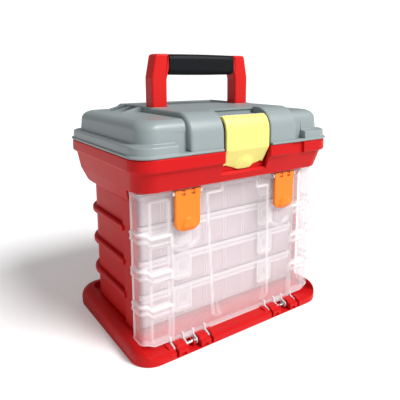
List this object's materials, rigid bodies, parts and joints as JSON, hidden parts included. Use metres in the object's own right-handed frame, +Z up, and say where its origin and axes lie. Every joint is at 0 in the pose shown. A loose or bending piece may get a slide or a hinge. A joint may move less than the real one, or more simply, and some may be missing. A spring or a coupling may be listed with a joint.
{
  "type": "carry box with slide-out trays",
  "caption": "Upright carry box with a hinged bin lid, folding handle, drop-down clear front cover and a rack of lidded slide-out trays.",
  "frame": {"origin": "middle of the foot's underside, on the surface the box stands on", "axes": "+Z up, -Y towards the clear front cover, +X to the right seen from the front"},
  "size_m": [0.27, 0.2015, 0.318],
  "materials": {
    "red_body": "satin bright red moulded plastic",
    "red_handle": "satin bright red moulded plastic",
    "grey_lid": "fine grained mid grey moulded plastic",
    "yellow_latch": "smooth pale yellow plastic",
    "orange_latch": "smooth orange plastic",
    "black_grip": "matte black soft grip",
    "steel_pin": "plain bright steel",
    "clear_cover": "milky clear plastic",
    "clear_tray": "milky clear plastic"
  },
  "bodies": {
    "cabinet": {"base_plinth": "red_body", "cabinet_shell": "red_body", "top_tub": "red_body", "lid_hinge_pin": "steel_pin", "cover_hinge_pin_left": "steel_pin", "cover_hinge_pin_right": "steel_pin"},
    "lid": {"lid_shell": "grey_lid", "main_latch_pin": "steel_pin", "handle_pivot_pin_left": "steel_pin", "handle_pivot_pin_right": "steel_pin"},
    "main_latch": {"main_latch": "yellow_latch"},
    "handle": {"handle_arm_left": "red_handle", "handle_arm_right": "red_handle", "handle_crossbar": "red_handle", "handle_grip": "black_grip"},
    "cover": {"front_cover": "clear_cover", "cover_latch_pin_left": "steel_pin", "cover_latch_pin_right": "steel_pin"},
    "cover_latch_left": {"cover_latch_left": "orange_latch"},
    "cover_latch_right": {"cover_latch_right": "orange_latch"},
    "tray1": {"tray1_box": "clear_tray", "tray1_lid": "clear_tray", "tray1_dividers": "clear_tray"},
    "tray1_clip_left": {"tray1_clip_left": "clear_tray"},
    "tray1_clip_right": {"tray1_clip_right": "clear_tray"},
    "tray2": {"tray2_box": "clear_tray", "tray2_lid": "clear_tray", "tray2_dividers": "clear_tray"},
    "tray2_clip_left": {"tray2_clip_left": "clear_tray"},
    "tray2_clip_right": {"tray2_clip_right": "clear_tray"},
    "tray3": {"tray3_box": "clear_tray", "tray3_lid": "clear_tray", "tray3_dividers": "clear_tray"},
    "tray3_clip_left": {"tray3_clip_left": "clear_tray"},
    "tray3_clip_right": {"tray3_clip_right": "clear_tray"},
    "tray4": {"tray4_box": "clear_tray", "tray4_lid": "clear_tray", "tray4_dividers": "clear_tray"},
    "tray4_clip_left": {"tray4_clip_left": "clear_tray"},
    "tray4_clip_right": {"tray4_clip_right": "clear_tray"}
  },
  "joints": [
    {"name": "lid_hinge", "type": "hinge", "parent": "cabinet", "child": "lid", "pos_m": [0, 0.099, 0.216], "axis": [-1, 0, 0], "range_deg": [0, 100]},
    {"name": "main_latch_hinge", "type": "hinge", "parent": "lid", "child": "main_latch", "pos_m": [0, -0.0823, 0.2518], "axis": [-1, 0, 0], "range_deg": [0, 75]},
    {"name": "handle_hinge", "type": "hinge", "parent": "lid", "child": "handle", "pos_m": [0, -0.001, 0.25], "axis": [-1, 0, 0], "range_deg": [0, 90]},
    {"name": "cover_hinge", "type": "hinge", "parent": "cabinet", "child": "cover", "pos_m": [0, -0.083, 0.0055], "axis": [1, 0, 0], "range_deg": [0, 90]},
    {"name": "cover_latch_left_hinge", "type": "hinge", "parent": "cover", "child": "cover_latch_left", "pos_m": [-0.0695, -0.0804, 0.1764], "axis": [-1, 0, 0], "range_deg": [0, 60]},
    {"name": "cover_latch_right_hinge", "type": "hinge", "parent": "cover", "child": "cover_latch_right", "pos_m": [0.0695, -0.0804, 0.1764], "axis": [-1, 0, 0], "range_deg": [0, 60]},
    {"name": "tray1_slide", "type": "slide", "parent": "cabinet", "child": "tray1", "axis": [0, -1, 0], "range_m": [0, 0.049]},
    {"name": "tray1_clip_left_hinge", "type": "hinge", "parent": "tray1", "child": "tray1_clip_left", "pos_m": [-0.062, -0.0562, 0.0573], "axis": [-1, 0, 0], "range_deg": [0, 25]},
    {"name": "tray1_clip_right_hinge", "type": "hinge", "parent": "tray1", "child": "tray1_clip_right", "pos_m": [0.062, -0.0562, 0.0573], "axis": [-1, 0, 0], "range_deg": [0, 25]},
    {"name": "tray2_slide", "type": "slide", "parent": "cabinet", "child": "tray2", "axis": [0, -1, 0], "range_m": [0, 0.073]},
    {"name": "tray2_clip_left_hinge", "type": "hinge", "parent": "tray2", "child": "tray2_clip_left", "pos_m": [-0.062, -0.0562, 0.0963], "axis": [-1, 0, 0], "range_deg": [0, 25]},
    {"name": "tray2_clip_right_hinge", "type": "hinge", "parent": "tray2", "child": "tray2_clip_right", "pos_m": [0.062, -0.0562, 0.0963], "axis": [-1, 0, 0], "range_deg": [0, 25]},
    {"name": "tray3_slide", "type": "slide", "parent": "cabinet", "child": "tray3", "axis": [0, -1, 0], "range_m": [0, 0.088]},
    {"name": "tray3_clip_left_hinge", "type": "hinge", "parent": "tray3", "child": "tray3_clip_left", "pos_m": [-0.062, -0.0562, 0.1353], "axis": [-1, 0, 0], "range_deg": [0, 25]},
    {"name": "tray3_clip_right_hinge", "type": "hinge", "parent": "tray3", "child": "tray3_clip_right", "pos_m": [0.062, -0.0562, 0.1353], "axis": [-1, 0, 0], "range_deg": [0, 25]},
    {"name": "tray4_slide", "type": "slide", "parent": "cabinet", "child": "tray4", "axis": [0, -1, 0], "range_m": [0, 0.101]},
    {"name": "tray4_clip_left_hinge", "type": "hinge", "parent": "tray4", "child": "tray4_clip_left", "pos_m": [-0.062, -0.0562, 0.1743], "axis": [-1, 0, 0], "range_deg": [0, 25]},
    {"name": "tray4_clip_right_hinge", "type": "hinge", "parent": "tray4", "child": "tray4_clip_right", "pos_m": [0.062, -0.0562, 0.1743], "axis": [-1, 0, 0], "range_deg": [0, 25]}
  ],
  "couplings": [
    {"joint": "tray1_slide", "follows": "cover_hinge", "m_per_rad": 0.031},
    {"joint": "tray2_slide", "follows": "cover_hinge", "m_per_rad": 0.046},
    {"joint": "tray3_slide", "follows": "cover_hinge", "m_per_rad": 0.056},
    {"joint": "tray4_slide", "follows": "cover_hinge", "m_per_rad": 0.064}
  ]
}
